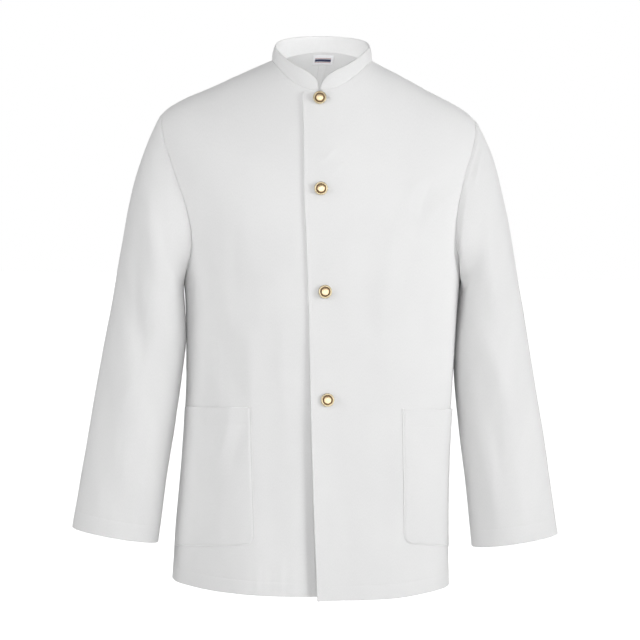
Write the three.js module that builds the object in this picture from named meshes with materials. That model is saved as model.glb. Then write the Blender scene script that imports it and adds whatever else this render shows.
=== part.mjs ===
// Stand-collar chef jacket in its worn pose, hollow, buttoned with four metal shank buttons.
// Millimetres, +Z up. The front faces -Y and the wearer's left is +X.
// The origin is the centre of the neck, level with the side of the collar seam.
import * as THREE from "three";
import { mergeVertices } from "three/addons/utils/BufferGeometryUtils.js";

// Cloth and seams
const CLOTH = 1.8;
const SEAM = 0.3;
const COLLAR_CLOTH = 2.2;
const COLLAR_TOP_FRONT = -22.5;
const COLLAR_TOP_SIDE = 20;
const COLLAR_TOP_BACK = 41.5;
const COLLAR_BACK_ROUND = 0.65;
const COLLAR_LEAN_IN = 0.18;
const COLLAR_END_RUN = 30;
const COLLAR_END_DROP = 23;
const COLLAR_END_STEPS = [1.5, 4, 8];
const COLLAR_SLIT = 3.4;
const COLLAR_CLEAR = 0.35;

// Front closure: the outer front reaches LAP past the button line, the under front as far the other way
const LAP = 24;
const PLY_GAP = SEAM + 0.1;
const LAP_LIFT = CLOTH + PLY_GAP;
const LAP_FADE = 70;
const LAP_CORNER_RADIUS = 11;
const HEM_TILT = 0.014;
const OUTER_HEM_DROP = 4.5;
const OUTER_HEM_DROP_TO = 100;
const OUTER_HEM_DROP_FADE = 190;
const LAP_SINK = 3;
const LAP_SINK_RUN = 1.2;
const LAP_SINK_BLEND = 4;
const LAP_FADE_FROM = 6;
const LAP_CORNER_STEPS = [2.5, 6, LAP_CORNER_RADIUS];

// Armhole: an oval between these two places of the body table
const ARMPIT = 5;
const SHOULDER_TIP = 8;
const NECK = 10;
const ARMHOLE_REACH_FRONT = 38;
const ARMHOLE_REACH_BACK = 34;
const ARMHOLE_LEAN = 0.35;
const SLEEVE_LIFT = CLOTH + PLY_GAP;
const SLEEVE_HEAD_BLEND = 2.2;
const SLEEVE_FOLDS_FROM = 0.6;
const SLEEVE_CROWDING = 1.12;
const CUFF = 8;
const RIGHT_CUFF_HIGHER = 4.5;

// Patch pockets, measured along X from the button line and in places of the body table
const POCKET_CLOTH = 1.6;
const POCKET_INNER = 110;
const POCKET_SIDE_GAP = 3;
const POCKET_TOP_INNER = 2.98;
const POCKET_TOP_SIDE = 2.83;
const POCKET_FOOT_INNER = 0.8;
const POCKET_FOOT_SIDE = 0.56;
const POCKET_CORNER_RADIUS = 15;
const POCKET_EASE = 1.2;
const POCKET_CLEAR = 0.35;
const POCKET_CORNER_STEPS = [0, 3, 8, POCKET_CORNER_RADIUS];

// Buttons
const BUTTON_RADIUS = 9.7;
const BUTTON_RIM = 1.35;
const BUTTON_CAP_RADIUS = 5.2;
const BUTTON_CAP_RISE = 2.6;
const BUTTON_THICKNESS = 2.2;
const SHANK_RADIUS = 2.4;
const SHANK_LENGTH = 2.4;
const BUTTON_PLACES = [9.74, 7.1, 4.93, 3.14];

// Label inside the back of the neck
const LABEL_WIDTH = 31;
const LABEL_TOP = 9.93;
const LABEL_FOOT = 9.6;
const LABEL_CLOTH = 1;

// Colours of the cloth, the metal and the label
const COTTON = { color: 0xf1f2f4, roughness: 0.85, metalness: 0 };
const GOLD = { color: 0xc9973f, roughness: 0.3, metalness: 1 };
const WOVEN = { color: 0xe9e6e4, roughness: 0.8, metalness: 0 };

// Body sections from the hem, place 0, up the side and over the shoulder to the neckline, place 10.
// side, front and back are the heights of the ring there and dip lowers it between them. half is half
// its width, fore and rear are its depths, shift moves it sideways, turn twists it in degrees, soft
// rounds it and closure is the x of the button line.
const BODY = [
  {
    side: -778, front: -783, back: -783, dip: 0, half: 208, fore: 131, rear: 126,
    shift: -2.5, turn: 6, soft: 0.79, closure: 20,
  },
  {
    side: -687, front: -693, back: -692, dip: 0, half: 203, fore: 131, rear: 121,
    shift: -2, turn: 5, soft: 0.79, closure: 15,
  },
  {
    side: -595, front: -602, back: -600, dip: 0, half: 199.5, fore: 130, rear: 115,
    shift: 1, turn: 3, soft: 0.79, closure: 11,
  },
  {
    side: -503, front: -510, back: -507, dip: 0, half: 198.3, fore: 129, rear: 111,
    shift: 4.2, turn: 1, soft: 0.79, closure: 7.5,
  },
  {
    side: -412, front: -420, back: -414, dip: 0, half: 200.5, fore: 129, rear: 112,
    shift: 6, turn: 0, soft: 0.79, closure: 4.5,
  },
  {
    side: -322, front: -336, back: -323, dip: 0, half: 206, fore: 129, rear: 119,
    shift: 6, turn: 0, soft: 0.8, closure: 1,
  },
  {
    side: -238, front: -264, back: -239, dip: 0, half: 223, fore: 126, rear: 125,
    shift: 2, turn: 0, soft: 0.84, closure: -2.5,
  },
  {
    side: -155, front: -200, back: -156, dip: 5, half: 240, fore: 118, rear: 123,
    shift: -3, turn: 0, soft: 0.93, closure: -6,
  },
  {
    side: -84, front: -143, back: -83, dip: 16, half: 233, fore: 104, rear: 108,
    shift: -1.5, turn: 0, soft: 1.06, closure: -6,
  },
  {
    side: -38.5, front: -94, back: -25, dip: 8, half: 153, fore: 86, rear: 85,
    shift: 0, turn: -3, soft: 1.05, closure: -6,
  },
  {
    side: 0, front: -50, back: 18, dip: 0, half: 74.5, fore: 69, rear: 61,
    shift: 2, turn: -7, soft: 1, closure: -6,
  },
];

// Sleeve sections from the armhole, place 0, to the cuff, place 8, for the +X side.
// out and in are the outer and inner edges of the ring, fore and rear its depths about y = mid.
const SLEEVE = [
  { outX: 235, outZ: -84, inX: 206, inZ: -322, fore: 66, rear: 66, mid: 0, outShift: -2.5, inShift: 6 },
  { outX: 259, outZ: -136, inX: 206.6, inZ: -334, fore: 74, rear: 74, mid: -1, outShift: -0.5, inShift: 6.4 },
  { outX: 279, outZ: -209, inX: 206.7, inZ: -349, fore: 79, rear: 78, mid: -2, outShift: -0.5, inShift: 6.1 },
  { outX: 294, outZ: -290, inX: 204.9, inZ: -375, fore: 77, rear: 76, mid: -4, outShift: 1, inShift: 6.2 },
  { outX: 307.5, outZ: -367, inX: 202.7, inZ: -417, fore: 71, rear: 71, mid: -7, outShift: 2, inShift: 5.9 },
  { outX: 320.5, outZ: -442, inX: 205.2, inZ: -475, fore: 64, rear: 65, mid: -12, outShift: 2, inShift: 3.8 },
  { outX: 333.5, outZ: -519, inX: 213, inZ: -544, fore: 58, rear: 59, mid: -18, outShift: 3, inShift: 3 },
  { outX: 347, outZ: -604, inX: 224, inZ: -627, fore: 53, rear: 53, mid: -25, outShift: 3, inShift: 2 },
  { outX: 362, outZ: -700.5, inX: 235, inZ: -721.5, fore: 48, rear: 48, mid: -32, outShift: 3, inShift: 1.5 },
];

// Largest folds, each a soft ridge (high above 0) or trough along a line in the X-Z plane.
// face is -1 for the front half and 1 for the back half of what the line crosses.
const BODY_FOLDS = [
  { face: -1, x0: -196, z0: -205, x1: -128, z1: -410, wide: 17, high: 3.2 },
  { face: -1, x0: -178, z0: -260, x1: -150, z1: -470, wide: 15, high: -3.4 },
  { face: -1, x0: -135, z0: -430, x1: -140, z1: -690, wide: 20, high: 2.2 },
  { face: -1, x0: -72, z0: -520, x1: -66, z1: -776, wide: 21, high: -2.4 },
  { face: -1, x0: 188, z0: -170, x1: 96, z1: -300, wide: 19, high: -3 },
  { face: -1, x0: 172, z0: -235, x1: 104, z1: -400, wide: 17, high: 2.6 },
  { face: -1, x0: 92, z0: -330, x1: 88, z1: -520, wide: 20, high: -2 },
  { face: -1, x0: 62, z0: -560, x1: 70, z1: -780, wide: 24, high: 2.2 },
  { face: 1, x0: -190, z0: -190, x1: -96, z1: -380, wide: 20, high: -3 },
  { face: 1, x0: -168, z0: -290, x1: -104, z1: -520, wide: 19, high: 2.8 },
  { face: 1, x0: 186, z0: -200, x1: 104, z1: -360, wide: 18, high: -2.8 },
  { face: 1, x0: 160, z0: -300, x1: 92, z1: -560, wide: 22, high: 2.4 },
  { face: 1, x0: -40, z0: -480, x1: -58, z1: -776, wide: 24, high: -2.6 },
  { face: 1, x0: 66, z0: -520, x1: 58, z1: -776, wide: 22, high: 2.4 },
];
const SLEEVE_FOLDS = [
  { face: -1, x0: 262, z0: -150, x1: 236, z1: -330, wide: 13, high: 2.4 },
  { face: -1, x0: 292, z0: -330, x1: 252, z1: -452, wide: 14, high: -3 },
  { face: -1, x0: 240, z0: -400, x1: 288, z1: -520, wide: 13, high: 2.4 },
  { face: -1, x0: 312, z0: -480, x1: 316, z1: -640, wide: 14, high: -2 },
  { face: -1, x0: 246, z0: -540, x1: 268, z1: -690, wide: 13, high: 2 },
  { face: 1, x0: 270, z0: -170, x1: 242, z1: -350, wide: 15, high: 2.4 },
  { face: 1, x0: 234, z0: -360, x1: 300, z1: -440, wide: 13, high: -3.2 },
  { face: 1, x0: 238, z0: -430, x1: 310, z1: -500, wide: 13, high: 2.6 },
  { face: 1, x0: 276, z0: -540, x1: 300, z1: -690, wide: 16, high: -2 },
];

// Grid sizes
const FRONT_CELLS = 11;
const BACK_CELLS = 10;
const SKIRT_ROWS = 11;
const ARMHOLE_ROWS = 10;
const YOKE_ROWS = 6;
const SLEEVE_AROUND = 2 * ARMHOLE_ROWS;
const SLEEVE_ROWS = 21;
const COLLAR_CELLS = 36;
const COLLAR_ROWS = 3;
const POCKET_CELLS = 10;
const POCKET_ROWS = 6;
const BUTTON_SEGMENTS = 20;
const ARC_SAMPLES = 60;
const FINE_STEP = 0.002;
const STEP = 0.02;
const SPAN_STEP = 0.1;
const HALVINGS = 30;

const QUARTER = Math.PI / 2;
const { lerp, clamp, degToRad, smoothstep } = THREE.MathUtils;

// Smooth value of a column of a table at a place between its rows
function along(rows, column, place) {
  const last = rows.length - 1;
  const low = clamp(Math.floor(place), 0, last - 1);
  const f = place - low;
  const at = (k) => {
    if (k < 0) return 2 * rows[0][column] - rows[1][column];
    if (k > last) return 2 * rows[last][column] - rows[last - 1][column];
    return rows[k][column];
  };
  const [a, b, c, d] = [at(low - 1), at(low), at(low + 1), at(low + 2)];
  const bend = (2 * a - 5 * b + 4 * c - d) * f * f + (3 * b - a - 3 * c + d) * f * f * f;
  return 0.5 * (2 * b + (c - a) * f + bend);
}

// Height of all folds of a table over a point, given which way its surface faces
function foldHeight(folds, x, z, facing) {
  let sum = 0;
  for (const fold of folds) {
    const share = smoothstep(facing * fold.face, 0.05, 0.6);
    if (share === 0) continue;
    const dx = fold.x1 - fold.x0;
    const dz = fold.z1 - fold.z0;
    const length = Math.hypot(dx, dz);
    const run = ((x - fold.x0) * dx + (z - fold.z0) * dz) / (length * length);
    const off = ((x - fold.x0) * dz - (z - fold.z0) * dx) / length;
    const ends = smoothstep(run, -0.2, 0.3) * (1 - smoothstep(run, 0.65, 1.15));
    sum += fold.high * share * ends * Math.exp(-((off / fold.wide) ** 2));
  }
  return sum;
}

// Body surface: angle 0 is the centre front, +90 degrees the wearer's left side, 180 the centre back
function bodyForm(angle, place) {
  const s = Math.sin(angle);
  const c = Math.cos(angle);
  const soft = along(BODY, "soft", place);
  const flatX = along(BODY, "half", place) * Math.sign(s) * Math.abs(s) ** soft;
  const depth = along(BODY, c >= 0 ? "fore" : "rear", place);
  const flatY = -Math.sign(c) * depth * Math.abs(c) ** soft;
  const turn = degToRad(along(BODY, "turn", place));
  const level = lerp(along(BODY, "side", place), along(BODY, c >= 0 ? "front" : "back", place), c * c);
  const dip = along(BODY, "dip", place) * Math.sin(2 * angle) ** 2;
  const x = flatX * Math.cos(turn) - flatY * Math.sin(turn) + along(BODY, "shift", place);
  const y = flatX * Math.sin(turn) + flatY * Math.cos(turn);
  return new THREE.Vector3(x, y, level - dip - HEM_TILT * x * (1 - smoothstep(place, 0, 2)));
}

// Outward normal of a surface given as a function of two parameters
function normalOf(surface, u, v, uStep, vStep) {
  const du = surface(u + uStep, v).sub(surface(u - uStep, v));
  const dv = surface(u, v + vStep).sub(surface(u, v - vStep));
  return du.cross(dv).normalize();
}

const bodyFormNormal = (angle, place) => normalOf(bodyForm, angle, place, FINE_STEP, FINE_STEP);

function bodySurface(angle, place) {
  const point = bodyForm(angle, place);
  const normal = bodyFormNormal(angle, place);
  const ends = 1 - smoothstep(place, SHOULDER_TIP, SHOULDER_TIP + 1);
  return point.addScaledVector(normal, ends * foldHeight(BODY_FOLDS, point.x, point.z, normal.y));
}

const bodyNormal = (angle, place) => normalOf(bodySurface, angle, place, STEP, STEP);

// Angle on the front half of the body where its x is the one given
function angleAtX(x, place) {
  let low = -QUARTER;
  let high = QUARTER;
  for (let i = 0; i < HALVINGS; i += 1) {
    const middle = (low + high) / 2;
    if (bodyForm(middle, place).x < x) low = middle;
    else high = middle;
  }
  return (low + high) / 2;
}

const closureX = (place) => along(BODY, "closure", place);
const closureAngle = (place) => angleAtX(closureX(place), place);

// Side edge of a body panel: the side seam, the armhole's oval and the shoulder seam
function sideAngle(place, reach) {
  if (place <= ARMPIT || place >= SHOULDER_TIP) return QUARTER;
  const rise = (place - ARMPIT) / (SHOULDER_TIP - ARMPIT);
  const oval = Math.sqrt(Math.max(0, 1 - (2 * rise - 1) ** 2));
  return QUARTER - degToRad(reach) * oval * (1 - ARMHOLE_LEAN * rise);
}

const frontSide = (place) => sideAngle(place, ARMHOLE_REACH_FRONT);
const backSide = (place) => Math.PI - sideAngle(place, ARMHOLE_REACH_BACK);

// Rows of a body panel, closer together at both ends of the armhole
function panelPlaces() {
  const places = [];
  for (let i = 0; i < SKIRT_ROWS; i += 1) places.push((ARMPIT * i) / SKIRT_ROWS);
  for (let i = 0; i < ARMHOLE_ROWS; i += 1) {
    const rise = (1 - Math.cos((Math.PI * i) / ARMHOLE_ROWS)) / 2;
    places.push(lerp(ARMPIT, SHOULDER_TIP, rise));
  }
  for (let i = 0; i <= YOKE_ROWS; i += 1) places.push(lerp(SHOULDER_TIP, NECK, i / YOKE_ROWS));
  return places;
}

// Angles that part one row of the body into cells of equal length
function evenAngles(from, to, cells, place) {
  const sums = [0];
  let before = bodyForm(from, place);
  for (let i = 1; i <= ARC_SAMPLES; i += 1) {
    const here = bodyForm(lerp(from, to, i / ARC_SAMPLES), place);
    sums.push(sums[i - 1] + here.distanceTo(before));
    before = here;
  }
  const angles = [];
  let k = 0;
  for (let i = 0; i <= cells; i += 1) {
    const want = (sums[ARC_SAMPLES] * i) / cells;
    while (k < ARC_SAMPLES - 1 && sums[k + 1] < want) k += 1;
    const part = (want - sums[k]) / (sums[k + 1] - sums[k]);
    angles.push(lerp(from, to, (k + part) / ARC_SAMPLES));
  }
  return angles;
}

// Moves the first or last point of each row of a grid along the row, to leave half a seam's gap
function insetColumn(rows, index, neighbour) {
  for (const row of rows) {
    const to = row[neighbour].point.clone().sub(row[index].point).setLength(SEAM / 2);
    row[index].point.add(to);
  }
}

// A closed wall over a grid of points and normals, from below to above each point.
// Columns run counter-clockwise seen from outside and rows upward. A looped grid closes on itself.
function wall(grid, below, above, looped = false) {
  const rows = grid.length;
  const columns = grid[0].length;
  const positions = [];
  for (const offset of [above, -below]) {
    for (const row of grid) {
      for (const { point, normal } of row) {
        positions.push(...point.clone().addScaledVector(normal, offset).toArray());
      }
    }
  }
  const outer = (r, c) => r * columns + (c % columns);
  const inner = (r, c) => rows * columns + outer(r, c);
  const index = [];
  const face = (a, b, c, d) => index.push(a, b, c, a, c, d);
  const cells = looped ? columns : columns - 1;
  for (let r = 0; r < rows - 1; r += 1) {
    for (let c = 0; c < cells; c += 1) {
      face(outer(r, c), outer(r, c + 1), outer(r + 1, c + 1), outer(r + 1, c));
      face(inner(r, c), inner(r + 1, c), inner(r + 1, c + 1), inner(r, c + 1));
    }
  }
  for (let c = 0; c < cells; c += 1) {
    face(inner(0, c), inner(0, c + 1), outer(0, c + 1), outer(0, c));
    face(outer(rows - 1, c), outer(rows - 1, c + 1), inner(rows - 1, c + 1), inner(rows - 1, c));
  }
  if (!looped) {
    for (let r = 0; r < rows - 1; r += 1) {
      face(inner(r, 0), outer(r, 0), outer(r + 1, 0), inner(r + 1, 0));
      face(outer(r, cells), inner(r, cells), inner(r + 1, cells), outer(r + 1, cells));
    }
  }
  const geometry = new THREE.BufferGeometry();
  geometry.setAttribute("position", new THREE.Float32BufferAttribute(positions, 3));
  geometry.setIndex(index);
  return geometry;
}

const group = new THREE.Group();

function add(name, geometry, look) {
  geometry.computeVertexNormals();
  const mesh = new THREE.Mesh(geometry, new THREE.MeshStandardMaterial(look));
  mesh.name = name;
  group.add(mesh);
  return mesh;
}

// How far a rounded corner cuts into an edge at a distance from the corner's end
function cornerCut(distance, radius) {
  if (distance >= radius) return 0;
  return radius - Math.sqrt(radius * radius - (radius - distance) ** 2);
}

// Lift of the outer front over the under front, fading out past the under front's edge
function lapLift(x, place) {
  const past = x - closureX(place) - LAP;
  return LAP_LIFT * (1 - smoothstep(past, LAP_FADE_FROM, LAP_FADE));
}

// Length of one place of the body table down the centre front, at the neck
const NECK_RUN = bodyForm(0, NECK).distanceTo(bodyForm(0, NECK - SPAN_STEP)) / SPAN_STEP;

// How far, in places, the lap's top edge sinks below the collar half that it passes in front of
function lapSink(x, place) {
  const share = smoothstep(closureX(place) - x, -LAP_SINK_BLEND, LAP_SINK_BLEND);
  return (LAP_SINK / NECK_RUN) * share * smoothstep(place, NECK - LAP_SINK_RUN, NECK);
}

// One body panel between two edges given as angles for each place
function panel(from, to, cells, places, lift, sink) {
  return places.map((place) =>
    evenAngles(from(place), to(place), cells, place).map((angle) => {
      const { x } = bodyForm(angle, place);
      const lowered = place - sink(x, place);
      const normal = bodyNormal(angle, lowered);
      const point = bodySurface(angle, lowered);
      return { point: point.addScaledVector(normal, lift(x, place)), normal };
    }),
  );
}

const none = () => 0;
const PLACES = panelPlaces();
const last = (row) => row.length - 1;

// Outer front, with extra rows at its rounded top corner
function frontLeft() {
  const extra = LAP_CORNER_STEPS.map((depth) => NECK - depth / NECK_RUN);
  const places = [...PLACES, ...extra].sort((a, b) => a - b);
  const edge = (place) => {
    const cut = cornerCut((NECK - place) * NECK_RUN, LAP_CORNER_RADIUS);
    return angleAtX(closureX(place) - LAP + cut, place);
  };
  const grid = panel(edge, frontSide, FRONT_CELLS, places, lapLift, lapSink);
  insetColumn(grid, last(grid[0]), last(grid[0]) - 1);
  for (const { point } of grid[0]) {
    point.z -= OUTER_HEM_DROP * (1 - smoothstep(point.x, OUTER_HEM_DROP_TO, OUTER_HEM_DROP_FADE));
  }
  add("front_left", wall(grid, CLOTH / 2, CLOTH / 2), COTTON);
}

function frontRight() {
  const edge = (place) => angleAtX(closureX(place) + LAP, place);
  const grid = panel((place) => -frontSide(place), edge, FRONT_CELLS, PLACES, none, none);
  insetColumn(grid, 0, 1);
  add("front_right", wall(grid, CLOTH / 2, CLOTH / 2), COTTON);
}

function backs() {
  const left = panel(backSide, () => Math.PI, BACK_CELLS, PLACES, none, none);
  const right = panel(() => -Math.PI, (place) => -backSide(place), BACK_CELLS, PLACES, none, none);
  for (const grid of [left, right]) {
    insetColumn(grid, 0, 1);
    insetColumn(grid, last(grid[0]), last(grid[0]) - 1);
  }
  add("back_left", wall(left, CLOTH / 2, CLOTH / 2), COTTON);
  add("back_right", wall(right, CLOTH / 2, CLOTH / 2), COTTON);
}

// Armhole point for an angle round the sleeve: 0 is the shoulder tip, 180 degrees the armpit
function armhole(side, turn) {
  const rise = (1 + Math.cos(turn)) / 2;
  const place = lerp(ARMPIT, SHOULDER_TIP, rise);
  const angle = side * (Math.sin(turn) >= 0 ? frontSide(place) : backSide(place));
  const normal = bodyNormal(angle, place);
  return bodySurface(angle, place).addScaledVector(normal, SLEEVE_LIFT);
}

// Sleeve ring, before it is fitted to the armhole. side is 1 for the wearer's left sleeve.
function sleeveRing(side, turn, place) {
  const c = Math.cos(turn);
  const s = Math.sin(turn);
  const at = (column) => along(SLEEVE, column, place);
  const across = (1 + c) / 2;
  const x = side * lerp(at("inX"), at("outX"), across) + lerp(at("inShift"), at("outShift"), across);
  const y = at("mid") - (s >= 0 ? at("fore") : at("rear")) * s;
  const higher = side < 0 ? RIGHT_CUFF_HIGHER * (place / CUFF) ** 2 : 0;
  return new THREE.Vector3(x, y, lerp(at("inZ"), at("outZ"), across) + higher);
}

function sleeveForm(side, turn, place) {
  const point = sleeveRing(side, turn, place);
  const fit = 1 - smoothstep(place, 0, SLEEVE_HEAD_BLEND);
  if (fit === 0) return point;
  const miss = armhole(side, turn).sub(sleeveRing(side, turn, 0));
  return point.addScaledVector(miss, fit);
}

// Rows of a sleeve, closer together over the sleeve head
function sleevePlaces() {
  return Array.from({ length: SLEEVE_ROWS + 1 }, (_, i) => CUFF * (i / SLEEVE_ROWS) ** SLEEVE_CROWDING);
}

function sleeve(name, side) {
  const outward = (turn, place) => {
    const surface = (u, v) => sleeveForm(side, u, v);
    return normalOf(surface, turn, place, STEP, STEP / 2).multiplyScalar(side);
  };
  const grid = sleevePlaces().map((place) =>
    Array.from({ length: SLEEVE_AROUND }, (_, i) => {
      const turn = (2 * Math.PI * i) / SLEEVE_AROUND;
      const safe = Math.max(place, STEP);
      const normal = outward(turn, safe);
      const point = sleeveForm(side, turn, place);
      const fold = foldHeight(SLEEVE_FOLDS, side * point.x, point.z, normal.y);
      const fade = smoothstep(place, SLEEVE_FOLDS_FROM, SLEEVE_HEAD_BLEND);
      return { point: point.addScaledVector(normal, fold * fade), normal };
    }),
  );
  if (side < 0) grid.forEach((row) => row.reverse());
  add(name, wall(grid, CLOTH / 2, CLOTH / 2, true), COTTON);
}

// Height of the collar's top edge, given how far round to the front (1) or the back (-1) it is
function collarTop(forward) {
  if (forward >= 0) return lerp(COLLAR_TOP_SIDE, COLLAR_TOP_FRONT, forward ** 2);
  return lerp(COLLAR_TOP_SIDE, COLLAR_TOP_BACK, (-forward) ** COLLAR_BACK_ROUND);
}

// How far the collar's curved end cuts into its top edge
function collarEndCut(fromEnd) {
  const inside = clamp(1 - fromEnd / COLLAR_END_RUN, 0, 1);
  return COLLAR_END_DROP * (1 - Math.sqrt(1 - inside * inside));
}

// Collar band from its seam up, leaning in toward the neck, with rounded ends at the centre front
function collar() {
  const middle = closureAngle(NECK);
  const radius = along(BODY, "half", NECK);
  const slit = COLLAR_SLIT / 2 / radius;
  const near = COLLAR_END_STEPS.map((distance) => distance / radius);
  const angles = evenAngles(middle + slit, middle + 2 * Math.PI - slit, COLLAR_CELLS, NECK);
  const start = angles[0];
  const stop = angles[last(angles)];
  angles.splice(1, 0, ...near.map((step) => start + step));
  angles.splice(last(angles), 0, ...near.map((step) => stop - step).reverse());
  const grid = [];
  for (let r = 0; r <= COLLAR_ROWS; r += 1) {
    grid.push(
      angles.map((angle) => {
        const seam = bodySurface(angle, NECK);
        const slope = bodyNormal(angle, NECK);
        const up = seam.clone().sub(bodySurface(angle, NECK - STEP)).normalize();
        const reach = angle > middle + QUARTER ? 2 * radius - seam.x : seam.x;
        const overOuter = angle < middle + Math.PI ? lapLift(reach, NECK) : 0;
        const point = seam.addScaledVector(slope, overOuter).addScaledVector(up, SEAM + COLLAR_CLEAR);
        const level = slope.clone().setZ(0).normalize();
        const fromEnd = Math.min(angle - start, stop - angle) * radius;
        const top = collarTop(Math.cos(angle - middle)) - collarEndCut(fromEnd);
        const rise = ((top - point.z) * r) / COLLAR_ROWS;
        point.addScaledVector(level, -COLLAR_LEAN_IN * rise);
        point.z += rise;
        return { point, normal: r === 0 ? slope : level };
      }),
    );
  }
  add("collar", wall(grid, COLLAR_CLOTH / 2, COLLAR_CLOTH / 2), COTTON);
}

// Patch pocket laid on a front. side is 1 for the wearer's left front.
function pocket(name, side) {
  const fall = bodyForm(0, 1).distanceTo(bodyForm(0, 0));
  const depths = POCKET_CORNER_STEPS.map((depth) => depth / fall);
  const height = POCKET_TOP_INNER - POCKET_FOOT_INNER;
  const rises = depths.map((depth) => depth / height);
  const start = rises[rises.length - 1];
  for (let i = 1; i <= POCKET_ROWS; i += 1) rises.push(lerp(start, 1, i / POCKET_ROWS));
  const grid = rises.map((rise) => {
    const inner = lerp(POCKET_FOOT_INNER, POCKET_TOP_INNER, rise);
    const outer = lerp(POCKET_FOOT_SIDE, POCKET_TOP_SIDE, rise);
    const cut = cornerCut(rise * height * fall, POCKET_CORNER_RADIUS);
    const from = angleAtX(closureX(inner) + side * (POCKET_INNER + cut), inner);
    const to = side * (QUARTER - POCKET_SIDE_GAP / along(BODY, "fore", outer));
    const angles = evenAngles(from, to, POCKET_CELLS, (inner + outer) / 2);
    const row = angles.map((angle, i) => {
      const share = i / POCKET_CELLS;
      const place = lerp(inner, outer, share);
      const normal = bodyNormal(angle, place);
      const bulge = POCKET_EASE * Math.sin(Math.PI * share) * Math.sin(QUARTER * rise);
      const lift = CLOTH / 2 + SEAM + POCKET_CLEAR + POCKET_CLOTH / 2 + bulge;
      return { point: bodySurface(angle, place).addScaledVector(normal, lift), normal };
    });
    return side > 0 ? row : row.reverse();
  });
  add(name, wall(grid, POCKET_CLOTH / 2, POCKET_CLOTH / 2), COTTON);
}

// Shank button: shank, disc with a raised rim, a groove and a domed cap, turned about its own axis
function buttonGeometry() {
  const back = SHANK_LENGTH;
  const face = back + BUTTON_THICKNESS;
  const profile = [
    [0, 0],
    [SHANK_RADIUS, 0],
    [SHANK_RADIUS, back],
    [BUTTON_RADIUS - BUTTON_RIM, back],
    [BUTTON_RADIUS, back + BUTTON_RIM / 2],
    [BUTTON_RADIUS, face - BUTTON_RIM / 2],
    [BUTTON_RADIUS - BUTTON_RIM / 2, face],
    [BUTTON_RADIUS - 1.6 * BUTTON_RIM, face],
    [BUTTON_RADIUS - 2 * BUTTON_RIM, face - BUTTON_RIM / 2],
    [BUTTON_CAP_RADIUS, face - BUTTON_RIM / 2],
    [BUTTON_CAP_RADIUS * 0.92, face + BUTTON_CAP_RISE * 0.35],
    [BUTTON_CAP_RADIUS * 0.6, face + BUTTON_CAP_RISE * 0.8],
    [0, face + BUTTON_CAP_RISE],
  ];
  const lathe = new THREE.LatheGeometry(profile.map(([x, y]) => new THREE.Vector2(x, y)), BUTTON_SEGMENTS);
  lathe.deleteAttribute("uv");
  lathe.deleteAttribute("normal");
  return mergeVertices(lathe);
}

function buttons() {
  BUTTON_PLACES.forEach((place, i) => {
    const angle = closureAngle(place);
    const normal = bodyNormal(angle, place);
    const seat = LAP_LIFT + CLOTH / 2 + SEAM;
    const mesh = add(`button_${i + 1}`, buttonGeometry(), GOLD);
    mesh.quaternion.setFromUnitVectors(new THREE.Vector3(0, 1, 0), normal);
    mesh.position.copy(bodySurface(angle, place).addScaledVector(normal, seat));
  });
}

function label() {
  const half = LABEL_WIDTH / 2 / along(BODY, "rear", NECK);
  const grid = [LABEL_FOOT, (LABEL_FOOT + LABEL_TOP) / 2, LABEL_TOP].map((place) =>
    [-1, -0.5, 0, 0.5, 1].map((side) => {
      const angle = Math.PI + side * half;
      const normal = bodyNormal(angle, place);
      const lift = -(CLOTH / 2 + SEAM + LABEL_CLOTH / 2);
      return { point: bodySurface(angle, place).addScaledVector(normal, lift), normal };
    }),
  );
  add("label", wall(grid, LABEL_CLOTH / 2, LABEL_CLOTH / 2), WOVEN);
}

frontLeft();
frontRight();
backs();
sleeve("sleeve_left", 1);
sleeve("sleeve_right", -1);
collar();
pocket("pocket_left", 1);
pocket("pocket_right", -1);
buttons();
label();

export default group;
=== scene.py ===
"""Looks of a stand-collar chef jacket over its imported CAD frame: fine cloth shells on the
same sections as the solids, with creases, sewing, metal buttons, a pale studio and a camera.
Sizes are millimetres until a mesh is made. Angles run round the body from the centre front,
+90 degrees being the wearer's left side. Places run up the body table, 0 hem to 10 neckline."""

import math

import bpy
import numpy as np
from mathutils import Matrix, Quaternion, Vector

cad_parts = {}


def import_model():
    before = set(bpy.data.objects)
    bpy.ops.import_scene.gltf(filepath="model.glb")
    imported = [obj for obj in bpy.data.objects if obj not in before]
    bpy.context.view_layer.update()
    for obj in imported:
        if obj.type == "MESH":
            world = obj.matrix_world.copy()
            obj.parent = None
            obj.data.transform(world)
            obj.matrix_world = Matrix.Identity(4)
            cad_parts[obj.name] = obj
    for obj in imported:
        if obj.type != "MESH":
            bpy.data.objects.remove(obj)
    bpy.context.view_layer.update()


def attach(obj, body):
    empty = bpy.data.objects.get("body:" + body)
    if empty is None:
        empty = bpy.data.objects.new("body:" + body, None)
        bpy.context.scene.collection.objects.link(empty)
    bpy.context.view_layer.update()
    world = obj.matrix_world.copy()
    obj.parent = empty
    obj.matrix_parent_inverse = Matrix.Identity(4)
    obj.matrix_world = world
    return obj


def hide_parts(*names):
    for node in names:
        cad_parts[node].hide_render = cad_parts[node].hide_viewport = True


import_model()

MM = 0.001
QUARTER = math.pi / 2

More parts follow.
